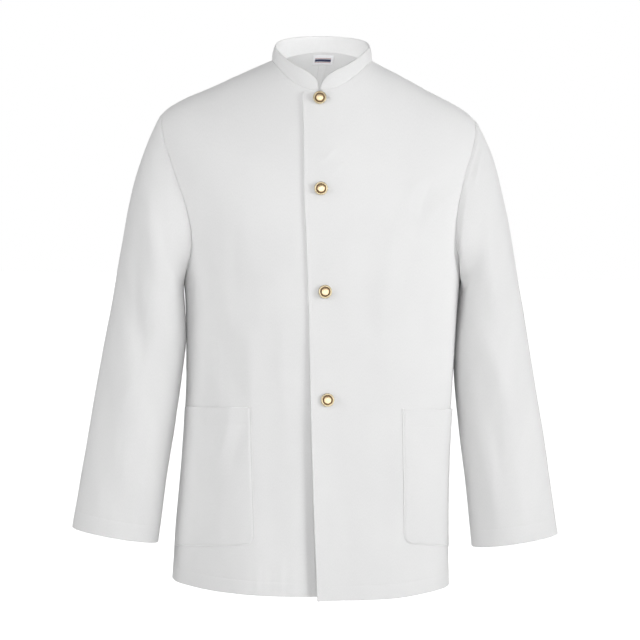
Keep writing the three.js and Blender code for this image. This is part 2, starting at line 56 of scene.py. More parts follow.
# Cloth, seams and sewing
CLOTH = 1.3
COLLAR_CLOTH = 2.0
POCKET_CLOTH = 1.2
LABEL_CLOTH = 0.7
TAPE_CLOTH = 0.7
TAPE_HALF = 5
EDGE_ROUND = 0.35
SEAM_DIP = 0.45
SEAM_WIDE = 1.7
STITCH_DIP = 0.16
STITCH_WIDE = 1.3
STITCH_PITCH = 3.1
STITCH_LENGTH = 2.3
STITCH_RADIUS = 0.24
STITCH_SHAPE = ((0, 0.3), (0.18, 0.95), (0.5, 1.1), (0.82, 0.95), (1, 0.3))
THREAD_SIDES = 6
HOLE_RADIUS = 0.3
HOLE_SHAPE = ((0, 0.5, 0.2), (0.2, 1, 0), (0.8, 1, 0), (1, 0.5, 0.2))
THREAD_LIFT = 0.05
PUCKER = 0.28
PUCKER_OUT = 5
# Soft ripples of the cloth: height, width along and across, and what is added to the seed
BODY_RIPPLES = ((0.55, 34, 85, 3), (0.22, 13, 37, 5))
SLEEVE_RIPPLES = ((0.5, 27, 62, 0), (0.2, 11, 31, 1))
COLLAR_RIPPLES = ((0.35, 21, 30, 31), (0.15, 8, 14, 32))
FRONT_STITCH = 5
HEM_STITCH = 20
CUFF_STITCH = 25
COLLAR_STITCH = 4
POCKET_STITCH = 1.8
POCKET_TOP_STITCH = 26
POCKET_DIP = 0.7
POCKET_TOP_DIP = 0.06

# Closure, armholes and collar, as in the solids
LAP = 24
LAP_LIFT = 2.2
LAP_FADE_FROM = 6
LAP_FADE = 70
LAP_CORNER_RADIUS = 11
LAP_SINK = 3
LAP_SINK_RUN = 1.2
LAP_SINK_BLEND = 4
LAP_FLARE = 6.5
LAP_FLARE_WIDE = 24
LAP_FLARE_TOP = 5.5
LAP_EDGE_RISE = 0.25
LAP_EDGE_WIDE = 9
LAP_EDGE_CLOTH = 0.9
LAP_EDGE_CLOTH_WIDE = 6
UNDER_DIP = 4
UNDER_DIP_ALWAYS = 0.1
UNDER_DIP_WIDE = 13
HEM_TILT = 0.014
OUTER_HEM_DROP = 4.5
OUTER_HEM_DROP_TO = 100
OUTER_HEM_DROP_FADE = 190
OUTER_HEM_DROP_HIGH = 70
ARMPIT = 5
SHOULDER_TIP = 8
NECK = 10
ARMHOLE_REACH_FRONT = 38
ARMHOLE_REACH_BACK = 34
ARMHOLE_LEAN = 0.35
SLEEVE_LIFT = 2.2
SLEEVE_TUCK = 1.7
SLEEVE_TUCK_WIDE = 3
SLEEVE_HEAD_BLEND = 2.2
SLEEVE_HEAD_PUCKER = 2.2
SLEEVE_HEAD_FROM = 7
SLEEVE_HEAD_WIDE = 8
SLEEVE_FOLDS_FROM = 0.6
SLEEVE_CLOSER = 1.3
CUFF = 8
RIGHT_CUFF_HIGHER = 4.5
COLLAR_TOP_FRONT = -22.5
COLLAR_TOP_SIDE = 20
COLLAR_TOP_BACK = 41.5
COLLAR_BACK_ROUND = 0.65
COLLAR_LEAN_IN = 0.18
COLLAR_END_RUN = 30
COLLAR_END_DROP = 23
COLLAR_SLIT = 3.4
COLLAR_SEAM_GAP = 0.35
COLLAR_BOW = 0.9
POCKET_INNER = 110
POCKET_SIDE_GAP = 3
POCKET_TOP_INNER = 2.98
POCKET_TOP_SIDE = 2.83
POCKET_FOOT_INNER = 0.8
POCKET_FOOT_SIDE = 0.56
POCKET_CORNER_RADIUS = 15
POCKET_EASE = 1.2
POCKET_GAPE = 0.8
POCKET_GAPE_WIDE = 16
POCKET_GAP = 0.15
BUTTON_PLACES = (9.74, 7.1, 4.93, 3.14)
BUTTON_SEAT = 3.4
BUTTON_LEVEL = 0.35
BUTTON_SEGMENTS = 72
BUTTONHOLE_ENDS = (14.2, 13.4, 9, 9)
LABEL_HALF = 15.5
LABEL_HEIGHT = 14.5
LABEL_OVER_TAPE = 0.75
STRIP_GAP = 0.1
TAPE_FOOT = 0.15
TAPE_TOP = 9.9
LABEL_TOP = 9.93
LABEL_FOOT = 9.6

# Grids
ARC = 160
FRONT_CELLS = 92
BACK_CELLS = 88
BODY_ROWS = 236
SLEEVE_CELLS = 128
SLEEVE_ROWS = 190
COLLAR_CELLS = 300
COLLAR_ROWS = 18
POCKET_CELLS = 60
POCKET_ROWS = 84
# Millimetres of cloth to one place, at the hem, over the chest, near the neck and at the cuff
HEM_RUN = 91
CHEST_RUN = 84
TOP_RUN = 48
CUFF_RUN = 92
ROW_CLEAR = 0.012
SLEEVE_ROW_CLEAR = 0.008
ARMHOLE_STEP = 0.0026
ARMHOLE_STEPS = 9
SKEWED_ROWS = 0.16


def table(names, rows):
    """Named columns of a short table of numbers."""
    values = [line.split() for line in rows.strip().splitlines()]
    return dict(zip(names.split(), np.array(values, float).T))


BODY = table(
    "side front back dip half fore rear shift turn soft closure",
    """
-778 -783 -783 0 208 131 126 -2.5 6 0.79 20
-687 -693 -692 0 203 131 121 -2 5 0.79 15
-595 -602 -600 0 199.5 130 115 1 3 0.79 11
-503 -510 -507 0 198.3 129 111 4.2 1 0.79 7.5
-412 -420 -414 0 200.5 129 112 6 0 0.79 4.5
-322 -336 -323 0 206 129 119 6 0 0.8 1
-238 -264 -239 0 223 126 125 2 0 0.84 -2.5
-155 -200 -156 5 240 118 123 -3 0 0.93 -6
-84 -143 -83 16 233 104 108 -1.5 0 1.06 -6
-38.5 -94 -25 8 153 86 85 0 -3 1.05 -6
0 -50 18 0 74.5 69 61 2 -7 1 -6
""",
)

SLEEVE = table(
    "outX outZ inX inZ fore rear mid outShift inShift",
    """
235 -84 206 -322 66 66 0 -2.5 6
259 -136 206.6 -334 74 74 -1 -0.5 6.4
279 -209 206.7 -349 79 78 -2 -0.5 6.1
294 -290 204.9 -375 77 76 -4 1 6.2
307.5 -367 202.7 -417 71 71 -7 2 5.9
320.5 -442 205.2 -475 64 65 -12 2 3.8
333.5 -519 213 -544 58 59 -18 3 3
347 -604 224 -627 53 53 -25 3 2
362 -700.5 235 -721.5 48 48 -32 3 1.5
""",
)

FOLD_COLUMNS = "face x0 z0 x1 z1 bow wide high"

# Largest folds of the body, as in the solids: face is -1 for the front half, 1 for the back
BODY_FOLDS = table(
    FOLD_COLUMNS,
    """
-1 -196 -205 -128 -410 0 17 3.2
-1 -178 -260 -150 -470 0 15 -3.4
-1 -135 -430 -140 -690 0 20 2.2
-1 -72 -520 -66 -776 0 21 -2.4
-1 188 -170 96 -300 0 19 -3
-1 172 -235 104 -400 0 17 2.6
-1 92 -330 88 -520 0 20 -2
-1 62 -560 70 -780 0 24 2.2
1 -190 -190 -96 -380 0 20 -3
1 -168 -290 -104 -520 0 19 2.8
1 186 -200 104 -360 0 18 -2.8
1 160 -300 92 -560 0 22 2.4
1 -40 -480 -58 -776 0 24 -2.6
1 66 -520 58 -776 0 22 2.4
""",
)

# Finer creases of the body. bow bends a crease sideways at its middle.
BODY_CREASES = table(
    FOLD_COLUMNS,
    """
-1 -192 -290 -192 -1050 0 66 -10
-1 -199 -260 -196 -540 0 9 2
-1 203 -250 200 -560 0 22 3.6
-1 -198 -262 -160 -380 5 15 2.8
-1 -162 -365 -151 -510 3 11 2.5
-1 -154 -415 -150 -510 -2 4.5 1.2
-1 -130 -410 -125 -505 2 11 -2.1
-1 -108 -405 -104 -515 -3 12 1.9
-1 -130 -262 -124 -338 3 8 -1
-1 -112 -210 -96 -330 5 14 0.9
-1 -130 -515 -164 -620 -4 8 2.3
-1 -104 -520 -130 -610 4 9 -1.6
-1 -150 -640 -140 -740 4 12 1.2
-1 -58 -380 -55 -520 3 9 1
-1 -40 -500 -48 -640 -3 8 -0.8
-1 -89 -738 -89 -786 1 4.5 1
-1 -72 -742 -73 -786 -1 4 -0.7
-1 -56 -730 -56 -786 -1 4.5 1
-1 -36 -724 -37 -786 1 4.5 0.9
-1 142 -172 114 -236 3 10 3
-1 162 -180 140 -228 2 6 -2
-1 186 -196 142 -254 4 9 2.9
-1 118 -232 90 -350 4 20 5
-1 88 -330 88 -490 -3 18 4.2
-1 62 -250 66 -400 5 16 -1.8
-1 115 -318 116 -400 0 3 -0.35
-1 142 -330 138 -470 -4 14 -1.2
-1 -5 -155 15 -133 1 4.5 1.1
-1 9 -177 26 -156 -1 4.5 1.1
-1 -7 -320 9 -290 2 6 0.7
-1 70 -470 62 -600 -4 12 0.9
-1 128 -640 136 -760 5 14 -1.1
-1 40 -640 48 -770 3 10 -0.8
1 -176 -215 -104 -352 8 8 1.5
1 -150 -262 -78 -360 -6 8 -1.1
1 -132 -330 -112 -470 5 9 1
1 -92 -440 -88 -590 -5 10 -0.9
1 176 -225 96 -332 -8 8 1.4
1 150 -282 84 -392 6 9 -1.1
1 126 -350 104 -500 -5 9 1
1 84 -470 92 -620 4 10 -0.8
1 -22 -100 -30 -220 4 12 0.7
1 34 -120 22 -260 -4 12 -0.7
1 -130 -600 -120 -770 5 11 1
1 128 -610 134 -770 -4 11 1
1 8 -560 2 -700 3 10 0.8
""",
)

# Largest folds of the sleeves, as in the solids, for the +X sleeve
SLEEVE_FOLDS = table(
    FOLD_COLUMNS,
    """
-1 262 -150 236 -330 0 13 2.4
-1 292 -330 252 -452 0 14 -3
-1 240 -400 288 -520 0 13 2.4
-1 312 -480 316 -640 0 14 -2
-1 246 -540 268 -690 0 13 2
1 270 -170 242 -350 0 15 2.4
1 234 -360 300 -440 0 13 -3.2
1 238 -430 310 -500 0 13 2.6
1 276 -540 300 -690 0 16 -2
""",
)

# Finer creases of each sleeve, in that sleeve's own x counted outwards
LEFT_SLEEVE_CREASES = table(
    FOLD_COLUMNS,
    """
-1 232 -112 214 -170 3 3.4 1.5
-1 237 -118 220 -172 2 2.6 -0.9
-1 242 -124 226 -182 1 3.2 1.1
-1 246 -244 258 -372 4 12 2
-1 232 -290 238 -380 -3 9 -0.6
-1 214 -215 208 -520 0 34 7.5
-1 258 -360 290 -570 6 17 1.9
-1 234 -430 252 -570 -4 12 -1.4
-1 262 -520 276 -640 4 8 -0.8
-1 292 -600 308 -716 -3 10 1.1
-1 242 -580 252 -720 2 11 -1.6
1 246 -140 232 -220 3 6 0.9
1 222 -350 282 -405 -6 7 1.3
1 228 -396 296 -462 5 7 -1.3
1 236 -452 304 -520 -4 8 1.1
1 260 -560 276 -690 4 9 0.9
1 300 -540 318 -660 -3 9 -0.8
""",
)
RIGHT_SLEEVE_CREASES = table(
    FOLD_COLUMNS,
    """
-1 238 -120 224 -170 3 5 0.8
-1 247 -250 250 -404 4 11 2
-1 269 -256 266 -396 -4 7 -1.6
-1 284 -290 284 -400 3 9 1
-1 252 -396 262 -470 -4 8 -1
-1 221 -215 211 -500 0 14 2.4
-1 280 -420 284 -650 5 18 1.6
-1 246 -470 254 -640 -4 10 -1.1
-1 300 -590 316 -706 3 9 -1
-1 262 -620 274 -712 -2 8 0.9
1 244 -150 230 -232 -3 6 0.9
1 224 -342 276 -412 5 7 -1.3
1 226 -402 300 -452 -5 7 1.3
1 240 -470 300 -532 4 8 -1
1 262 -570 284 -690 -4 9 0.9
""",
)


def lerp(a, b, t):
    return a + (b - a) * t


def smoothstep(x, low, high):
    t = np.clip((x - low) / (high - low), 0, 1)
    return t * t * (3 - 2 * t)


def bell(distance, wide):
    return np.exp(-((distance / wide) ** 2))


def nearest(values, target):
    return int(np.argmin(np.abs(values - target)))


def path_length(points):
    """Length along each column of points, from its first one."""
    run = np.linalg.norm(np.diff(points, axis=0), axis=-1)
    return np.concatenate([np.zeros_like(run[:1]), np.cumsum(run, axis=0)])


def clear_of(even, fine, gap):
    """The evenly spaced rows that keep a gap to each fine one."""
    return even[(np.abs(even[:, None] - np.array(fine)) > gap).all(axis=1)]


def along(column, place):
    """Smooth value of a table's column at places between its rows."""
    last = len(column) - 1
    ends = [2 * column[0] - column[1]], [2 * column[-1] - column[-2]]
    padded = np.concatenate([ends[0], column, ends[1]])
    low = np.clip(np.floor(place).astype(int), 0, last - 1)
    f = place - low
    a, b, c, d = (padded[low + k] for k in range(4))
    bend = (2 * a - 5 * b + 4 * c - d) * f**2 + (3 * b - a - 3 * c + d) * f**3
    return 0.5 * (2 * b + (c - a) * f + bend)


def soft_noise(x, y, seed):
    """Smooth noise from -1 to 1, one lump to each unit of x and y."""
    grid = np.random.default_rng(seed).uniform(-1, 1, (64, 64))
    xi, yi = np.floor(x).astype(int), np.floor(y).astype(int)
    fx, fy = smoothstep(x - xi, 0, 1), smoothstep(y - yi, 0, 1)
    low = lerp(grid[xi % 64, yi % 64], grid[(xi + 1) % 64, yi % 64], fx)
    high = lerp(grid[xi % 64, (yi + 1) % 64], grid[(xi + 1) % 64, (yi + 1) % 64], fx)
    return lerp(low, high, fy)


def ripples(x, y, layers, seed=0):
    return sum(high * soft_noise(x / wide, y / tall, seed + own) for high, wide, tall, own in layers)


def fold_height(folds, x, z, facing):
    """Height of a table's folds over points, given how far each point faces back."""
    total = np.zeros(np.broadcast(x, z, facing).shape)
    for face, x0, z0, x1, z1, bow, wide, high in zip(*folds.values()):
        share = smoothstep(facing * face, 0.05, 0.6)
        dx, dz = x1 - x0, z1 - z0
        length = math.hypot(dx, dz)
        run = ((x - x0) * dx + (z - z0) * dz) / length**2
        off = ((x - x0) * dz - (z - z0) * dx) / length
        off = off - bow * (1 - (2 * np.clip(run, 0, 1) - 1) ** 2)
        ends = smoothstep(run, -0.2, 0.3) * (1 - smoothstep(run, 0.65, 1.15))
        total += high * share * ends * bell(off, wide)
    return total


def unit(v):
    return v / np.maximum(np.linalg.norm(v, axis=-1, keepdims=True), 1e-9)


def body_form(angle, place):
    """Points of the body's sections, before folds."""
    angle, place = np.broadcast_arrays(np.asarray(angle, float), np.asarray(place, float))
    s, c = np.sin(angle), np.cos(angle)
    front = c >= 0
    soft = along(BODY["soft"], place)
    flat_x = along(BODY["half"], place) * np.sign(s) * np.abs(s) ** soft
    depth = np.where(front, along(BODY["fore"], place), along(BODY["rear"], place))
    flat_y = -np.where(front, 1, -1) * depth * np.abs(c) ** soft
    turn = np.radians(along(BODY["turn"], place))
    end = np.where(front, along(BODY["front"], place), along(BODY["back"], place))
    level = lerp(along(BODY["side"], place), end, c * c)
    dip = along(BODY["dip"], place) * np.sin(2 * angle) ** 2
    x = flat_x * np.cos(turn) - flat_y * np.sin(turn) + along(BODY["shift"], place)
    y = flat_x * np.sin(turn) + flat_y * np.cos(turn)
    z = level - dip - HEM_TILT * x * (1 - smoothstep(place, 0, 2))
    return np.stack([x, y, z], -1)


def cloth_normal(angle, place, step=0.016):
    """Normals of the body's cloth with its folds, from its own slopes."""
    across = body_cloth(angle + step, place)[0] - body_cloth(angle - step, place)[0]
    low, high = np.maximum(place - step, 0), np.minimum(place + step, NECK)
    return unit(np.cross(across, body_cloth(angle, high)[0] - body_cloth(angle, low)[0]))


def body_normal(angle, place, step=0.02):
    across = body_form(angle + step, place) - body_form(angle - step, place)
    up = body_form(angle, place + step) - body_form(angle, place - step)
    return unit(np.cross(across, up))


def body_cloth(angle, place):
    """Points and normals of the body's cloth, with its folds, creases and soft ripples."""
    point = body_form(angle, place)
    normal = body_normal(angle, place)
    x, z, facing = point[..., 0], point[..., 2], normal[..., 1]
    ends = 1 - smoothstep(place, SHOULDER_TIP, SHOULDER_TIP + 1)
    height = ends * fold_height(BODY_FOLDS, x, z, facing)
    height += ends * fold_height(BODY_CREASES, x, z, facing)
    height += ripples(x, z, BODY_RIPPLES) * (1 - 0.7 * smoothstep(place, SHOULDER_TIP, NECK))
    return point + normal * height[..., None], normal


def angle_at_x(x, place):
    """Angle on the front half of the body where its x is the one given."""
    x, place = np.broadcast_arrays(np.asarray(x, float), np.asarray(place, float))
    low, high = np.full(x.shape, -QUARTER), np.full(x.shape, QUARTER)
    for _ in range(34):
        middle = (low + high) / 2
        short = body_form(middle, place)[..., 0] < x
        low, high = np.where(short, middle, low), np.where(short, high, middle)
    return (low + high) / 2


def closure_x(place):
    return along(BODY["closure"], np.asarray(place, float))


def side_angle(place, reach):
    """Side edge of a body panel: the side seam, the armhole's oval and the shoulder seam."""
    rise = np.clip((place - ARMPIT) / (SHOULDER_TIP - ARMPIT), 0, 1)
    oval = np.sqrt(np.maximum(0, 1 - (2 * rise - 1) ** 2))
    return QUARTER - np.radians(reach) * oval * (1 - ARMHOLE_LEAN * rise)


def front_side(place):
    return side_angle(place, ARMHOLE_REACH_FRONT)


def back_side(place):
    return math.pi - side_angle(place, ARMHOLE_REACH_BACK)


def corner_cut(distance, radius):
    """How far a rounded corner cuts into an edge at a distance from the corner's end."""
    inside = np.clip(radius - distance, 0, radius)
    return radius - np.sqrt(radius**2 - inside**2)


def stitch_dips(distance, lines, deep=STITCH_DIP):
    total = np.zeros(np.shape(distance))
    for line in lines:
        total -= deep * bell(distance - line, STITCH_WIDE)
    return total


def seam_shape(distance, run, seed):
    """Dip of the cloth into a seam, with the small uneven puckers beside it."""
    dip = -SEAM_DIP * bell(distance, SEAM_WIDE)
    return dip + PUCKER * bell(distance - 4, PUCKER_OUT) * soft_noise(run / 7, distance / 14, seed)


def near_steps(*stitches):
    """Distances from an edge where the grid is fine: the edge and each line of stitches."""
    steps = {0, 0.5, 1.4, 2.6}
    for line in stitches:
        steps |= {line - 1.6, line - 0.8, line, line + 0.8, line + 1.6}
    return np.array(sorted(s for s in steps if s >= 0))


def body_places():
    """Rows of the body panels, evenly spaced, with fine ones at the hem and its stitches,
    at the neckline and where the armhole's round ends start."""
    hem = near_steps(HEM_STITCH) / HEM_RUN
    top = NECK - np.array([0, 0.6, 1.6, 3.2]) / TOP_RUN
    rounds = ARMHOLE_STEP * np.arange(ARMHOLE_STEPS) ** 2
    fine = np.concatenate([hem, top, ARMPIT + rounds, SHOULDER_TIP - rounds])
    even = clear_of(np.linspace(0, NECK, BODY_ROWS), [*hem, *top, ARMPIT, SHOULDER_TIP], ROW_CLEAR)
    reach = rounds[-1]
    clear = (even < ARMPIT) | (even > ARMPIT + reach + 0.02)
    clear &= (even > SHOULDER_TIP) | (even < SHOULDER_TIP - reach - 0.02)
    return np.sort(np.concatenate([even[clear], fine]))


def row_distances(total, cells, start_steps, stop_steps):
    """Distances along one row, fine near both ends."""
    between = np.linspace(start_steps[-1], total - stop_steps[-1], cells + 1)
    return np.concatenate([start_steps[:-1], between, total - stop_steps[:-1][::-1]])


def panel(start, stop, places, cells, start_steps, stop_steps):
    """Angles of one body panel's grid, and each point's distance from its four edges."""
    count = cells + len(start_steps) + len(stop_steps) - 1
    angles = np.empty((len(places), count))
    from_start, from_stop = np.empty_like(angles), np.empty_like(angles)
    share = np.linspace(0, 1, ARC + 1)
    for r, place in enumerate(places):
        fine = lerp(start[r], stop[r], share)
        sums = path_length(body_form(fine, place))
        want = row_distances(sums[-1], cells, start_steps, stop_steps)
        angles[r] = np.interp(want, sums, fine)
        from_start[r], from_stop[r] = want, sums[-1] - want
    place = np.broadcast_to(places[:, None], angles.shape)
    from_hem = path_length(body_form(angles, place))
    names = ("angle", "place", "from_start", "from_stop", "from_hem")
    return dict(zip(names, (angles, place, from_start, from_stop, from_hem)))


def in_scene(name, data):
    obj = bpy.data.objects.new(name, data)
    bpy.context.scene.collection.objects.link(obj)
    return obj


def new_object(name, verts, faces, uvs, material):
    """A smooth mesh object that rides on the one body, from points in millimetres."""
    mesh = bpy.data.meshes.new(name)
    mesh.from_pydata((np.asarray(verts) * MM).tolist(), [], faces)
    if uvs is not None:
        layer = mesh.uv_layers.new(name="cloth")
        corners = np.empty(len(mesh.loops), int)
        mesh.loops.foreach_get("vertex_index", corners)
        layer.data.foreach_set("uv", (np.asarray(uvs) * MM)[corners].astype("f").ravel())
    mesh.polygons.foreach_set("use_smooth", np.ones(len(mesh.polygons), bool))
    mesh.materials.append(material)
    mesh.update()
    obj = in_scene(name, mesh)
    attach(obj, "root")
    return obj


def shade_outside(obj, count, shading, share):
    """Blend a shell's outer normals into ones worked out from the cloth's own slopes."""
    normals = np.empty((len(obj.data.vertices), 3), "f")
    obj.data.vertices.foreach_get("normal", normals.ravel())
    share = share.reshape(-1, 1)
    for first, way in ((0, 1), (count, -1)):
        part = slice(first, first + count)
        normals[part] = unit(lerp(normals[part], way * shading.reshape(-1, 3), share))
    obj.data.normals_split_custom_set_from_vertices(normals.tolist())


def cloth_shell(name, grid, normals, thickness, uv, material, looped=False):
    """A closed thin shell round a grid of points, with soft rounded edges.
    Columns run counter-clockwise seen from outside and rows upward."""
    rows, columns = grid.shape[:2]
    thick = np.broadcast_to(thickness, (rows, columns))[..., None]
    outer = (grid + normals * thick / 2).reshape(-1, 3)
    inner = (grid - normals * thick / 2).reshape(-1, 3)
    index = np.arange(rows * columns).reshape(rows, columns)
    right = np.roll(index, -1, axis=1) if looped else index[:, 1:]
    left = index if looped else index[:, :-1]
    quads = np.stack([left[:-1], right[:-1], right[1:], left[1:]], -1).reshape(-1, 4)
    shift = rows * columns
    faces = [quads, quads[:, ::-1] + shift]
    if looped:
        rings = [index[0], index[-1][::-1]]
    else:
        edges = (index[0], index[1:, -1], index[-1, -2::-1], index[-2:0:-1, 0])
        rings = [np.concatenate(edges)]
    flat = grid.reshape(-1, 3)
    rim, rim_uv, start = [], [], 2 * shift
    flat_uv = uv.reshape(-1, 2)
    for ring in rings:
        r, c = np.divmod(ring, columns)
        inward = np.clip(r, 1, rows - 2) * columns + (c if looped else np.clip(c, 1, columns - 2))
        out = unit(flat[ring] - flat[inward])
        rim.append(flat[ring] + out * thick.reshape(-1, 1)[ring] * EDGE_ROUND)
        rim_uv.append(flat_uv[ring])
        here = start + np.arange(len(ring))
        after, ahead = np.roll(here, -1), np.roll(ring, -1)
        faces.append(np.stack([ahead, ring, here, after], -1))
        faces.append(np.stack([after, here, ring + shift, ahead + shift], -1))
        start += len(ring)
    verts = np.concatenate([outer, inner, *rim])
    uvs = np.concatenate([flat_uv, flat_uv, *rim_uv])
    return new_object(name, verts, np.concatenate(faces).tolist(), uvs, material)


def stitch_run(path, normal, lift):
    """Ends and normals of the stitches along a path."""
    length = path_length(path)
    centres = np.arange(STITCH_PITCH, length[-1] - STITCH_PITCH / 2, STITCH_PITCH)
    ends = np.stack([centres - STITCH_LENGTH / 2, centres + STITCH_LENGTH / 2])
    a, b = (np.stack([np.interp(e, length, path[:, k]) for k in range(3)], -1) for e in ends)
    n = unit(np.stack([np.interp(centres, length, normal[:, k]) for k in range(3)], -1))
    return a + n * lift, b + n * lift, n


def threads(name, a, b, normal, radius, shape):
    """One mesh of short threads from a to b. shape is each ring's share of the length, share
    of the radius and depth below the line."""
    across = unit(np.cross(b - a, normal))
    turn = np.arange(THREAD_SIDES) * 2 * math.pi / THREAD_SIDES
    spoke = across[:, None] * np.cos(turn)[:, None] + normal[:, None] * np.sin(turn)[:, None]
    rings, one = [], []
    for ring, (share, wide, deep) in enumerate(shape):
        rings.append((lerp(a, b, share) - normal * deep)[:, None] + spoke * radius * wide)
        for k in range(THREAD_SIDES) if ring else ():
            q = ring * THREAD_SIDES + (k + 1) % THREAD_SIDES
            p = ring * THREAD_SIDES + k
            one.append((p - THREAD_SIDES, p, q, q - THREAD_SIDES))
    size = len(shape) * THREAD_SIDES
    starts = np.arange(len(a))[:, None] * size
    faces = (starts[..., None] + np.array(one)).reshape(-1, 4).tolist()
    for cap in (range(THREAD_SIDES), range(size - 1, size - 1 - THREAD_SIDES, -1)):
        faces.extend((starts + np.array(cap)).tolist())
    return new_object(name, np.stack(rings, 1).reshape(-1, 3), faces, None, THREAD)


def stitches(name, runs):
    """One mesh of every stitch in several runs, each run (path, normals, lift)."""
    ends = (stitch_run(*run) for run in runs)
    a, b, normal = (np.concatenate(part) for part in zip(*ends))
    shape = [(share, wide, STITCH_RADIUS * (1 - wide)) for share, wide in STITCH_SHAPE]
    return threads(name, a, b, normal, STITCH_RADIUS, shape)


# ---- materials


def material(name):
    mat = bpy.data.materials.new(name)
    mat.use_nodes = True
    nodes, links = mat.node_tree.nodes, mat.node_tree.links
    return mat, nodes, links, nodes["Principled BSDF"]


def put(node, values):
    for name, value in values.items():
        node.inputs[name].default_value = value
    return node


def noise_node(nodes, links, vector, scale, detail, stretch=(1, 1, 1)):
    mapping = put(nodes.new("ShaderNodeMapping"), {"Scale": stretch})
    links.new(vector, mapping.inputs["Vector"])
    noise = put(nodes.new("ShaderNodeTexNoise"), {"Scale": scale, "Detail": detail})
    links.new(mapping.outputs["Vector"], noise.inputs["Vector"])
    return noise.outputs["Fac"]


def ramp_node(nodes, links, value, stops, blend="LINEAR"):
    ramp = nodes.new("ShaderNodeValToRGB")
    ramp.color_ramp.interpolation = blend
    elements = ramp.color_ramp.elements
    while len(elements) < len(stops):
        elements.new(0.5)
    for element, (at, colour) in zip(elements, stops):
        element.position = at
        element.color = (*colour, 1)
    links.new(value, ramp.inputs["Fac"])
    return ramp.outputs["Color"]


def bump_node(nodes, links, height, distance, strength, under=None):
    bump = put(nodes.new("ShaderNodeBump"), {"Distance": distance, "Strength": strength})
    links.new(height, bump.inputs["Height"])
    if under is not None:
        links.new(under, bump.inputs["Normal"])
    return bump.outputs["Normal"]


def range_node(nodes, links, value, values):
    levels = put(nodes.new("ShaderNodeMapRange"), values)
    links.new(value, levels.inputs["Value"])
    return levels.outputs["Result"]


def grained(name, scale, detail, low, high, bump, values):
    """Material whose colour, and bump if any, come from one noise."""
    mat, nodes, links, shader = material(name)
    coords = nodes.new("ShaderNodeTexCoord")
    grain = noise_node(nodes, links, coords.outputs["Object"], scale, detail)
    colour = ramp_node(nodes, links, grain, [(0.3, low), (0.7, high)])
    links.new(colour, shader.inputs["Base Color"])
    if bump:
        links.new(bump_node(nodes, links, grain, *bump), shader.inputs["Normal"])
    put(shader, values)
    return mat


def cotton_material():
    """White cotton twill: fine diagonal ribs, uneven yarns, soft nap and faint mottling."""
    mat, nodes, links, shader = material("cotton_twill")
    uv = nodes.new("ShaderNodeTexCoord").outputs["UV"]
    ribs = nodes.new("ShaderNodeTexWave")
    ribs.wave_type = "BANDS"
    ribs.bands_direction = "DIAGONAL"
    put(ribs, {"Scale": 470, "Distortion": 1.2, "Detail": 1, "Detail Scale": 0.6})
    links.new(uv, ribs.inputs["Vector"])
    yarns = noise_node(nodes, links, uv, 950, 2, (1, 0.35, 1))
    slubs = noise_node(nodes, links, uv, 62, 5, (1, 0.3, 1))
    cloud = noise_node(nodes, links, uv, 9, 3)
    normal = bump_node(nodes, links, cloud, 0.0012, 0.35)
    normal = bump_node(nodes, links, slubs, 0.0005, 0.35, normal)
    normal = bump_node(nodes, links, yarns, 0.00012, 0.4, normal)
    normal = bump_node(nodes, links, ribs.outputs["Fac"], 0.00016, 0.5, normal)
    links.new(normal, shader.inputs["Normal"])
    tint = [(0.3, (0.84, 0.84, 0.84)), (0.7, (0.868, 0.868, 0.866))]
    shade = [(0.25, (0.955, 0.955, 0.955)), (0.75, (1, 1, 1))]
    mix = nodes.new("ShaderNodeMix")
    mix.data_type = "RGBA"
    mix.blend_type = "MULTIPLY"
    mix.inputs["Factor"].default_value = 1
    links.new(ramp_node(nodes, links, cloud, tint), mix.inputs["A"])
    links.new(ramp_node(nodes, links, yarns, shade), mix.inputs["B"])
    links.new(mix.outputs["Result"], shader.inputs["Base Color"])
    put(shader, {"Roughness": 0.88, "Specular IOR Level": 0.22})
    put(shader, {"Sheen Weight": 0.18, "Sheen Roughness": 0.45})
    return mat


def gold_material(name, low, high, smooth, rough):
    """Gold-coloured metal with faint smudges and hairline wear."""
    mat, nodes, links, shader = material(name)
    coords = nodes.new("ShaderNodeTexCoord").outputs["Object"]
    smudge = noise_node(nodes, links, coords, 260, 4)
    wear = noise_node(nodes, links, coords, 1500, 3, (1, 1, 0.2))
    colour = ramp_node(nodes, links, smudge, [(0.3, low), (0.7, high)])
    links.new(colour, shader.inputs["Base Color"])
    levels = range_node(nodes, links, smudge, {"To Min": smooth, "To Max": rough})
    links.new(levels, shader.inputs["Roughness"])
    links.new(bump_node(nodes, links, wear, 0.00005, 0.3), shader.inputs["Normal"])
    put(shader, {"Metallic": 1})
    return mat


